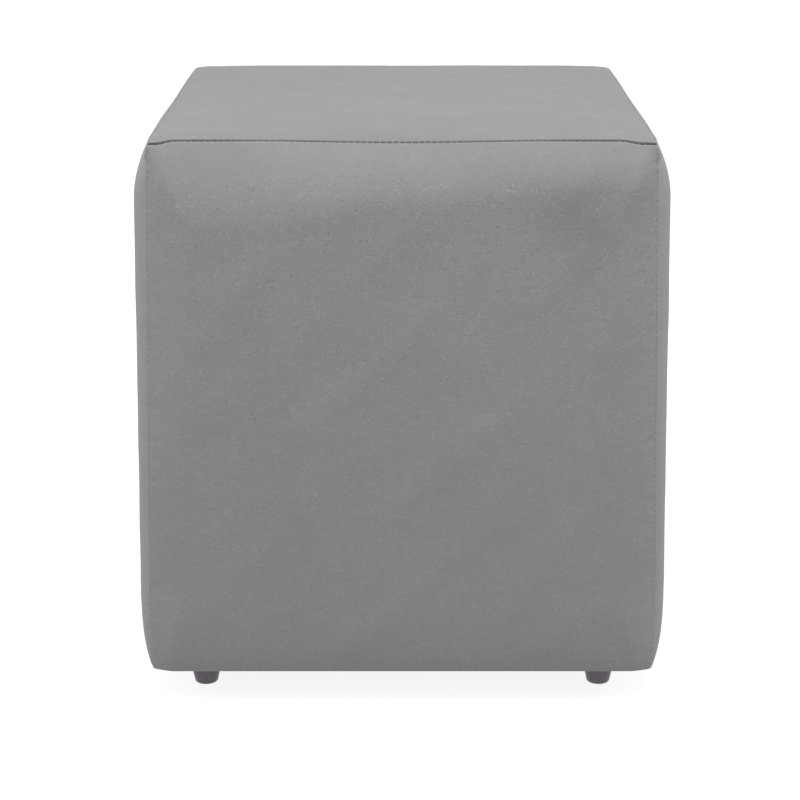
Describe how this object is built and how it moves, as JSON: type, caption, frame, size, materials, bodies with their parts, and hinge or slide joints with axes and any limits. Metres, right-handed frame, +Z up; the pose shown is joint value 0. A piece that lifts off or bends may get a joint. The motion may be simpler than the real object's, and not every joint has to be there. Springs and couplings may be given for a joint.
{
  "type": "cube pouf stool",
  "caption": "Cube pouf stool: padded panels of grey suede-like cloth sewn edge to edge, closed underneath with plain cloth, on small tapered plastic feet.",
  "frame": {"origin": "on the floor, under the middle of the stool", "axes": "+Z up, -Y out of the front panel that the picture shows, +X to the right of someone who faces that panel"},
  "size_m": [0.4032, 0.4032, 0.4389],
  "materials": {
    "cover": "matt grey suede-like upholstery cloth with a short nap",
    "underside": "thin black non-woven cloth",
    "feet": "glossy dark grey moulded plastic"
  },
  "bodies": {
    "root": {"top_panel": "cover", "front_panel": "cover", "back_panel": "cover", "left_panel": "cover", "right_panel": "cover", "underside_cloth": "underside", "foot_front_left": "feet", "foot_front_right": "feet", "foot_back_left": "feet", "foot_back_right": "feet"}
  },
  "joints": []
}
